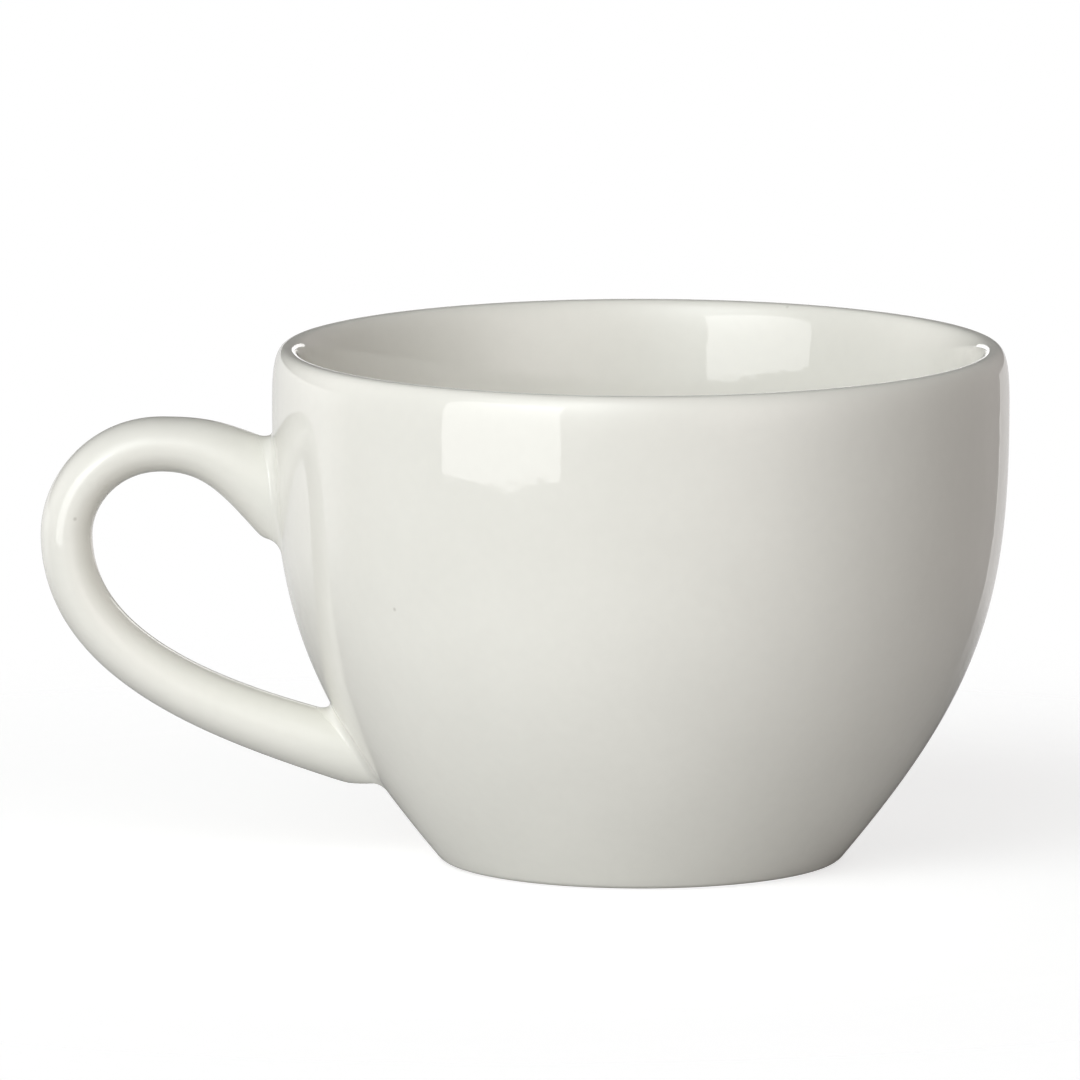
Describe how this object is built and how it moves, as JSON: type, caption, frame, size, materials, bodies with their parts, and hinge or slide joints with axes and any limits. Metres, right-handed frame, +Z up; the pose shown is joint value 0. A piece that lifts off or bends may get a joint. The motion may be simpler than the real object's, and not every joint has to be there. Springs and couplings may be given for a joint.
{
  "type": "espresso cup",
  "caption": "White glazed porcelain espresso cup: a round bowl flaring from a foot ring to an upright rim, with an ear handle stuck on its side.",
  "frame": {"origin": "on the ground plane, under the middle of the whole outline; the cup's own axis stands 10.4 mm from it towards +X", "axes": "+Z up along the cup's axis, handle towards -X, handle and cup symmetric across the XZ plane"},
  "size_m": [0.0868, 0.066, 0.0462],
  "materials": {
    "white_glaze": "clear gloss glaze on ivory-white porcelain"
  },
  "bodies": {
    "root": {"cup_body": "white_glaze", "handle": "white_glaze", "upper_slip_joint": "white_glaze", "lower_slip_joint": "white_glaze"}
  },
  "joints": []
}
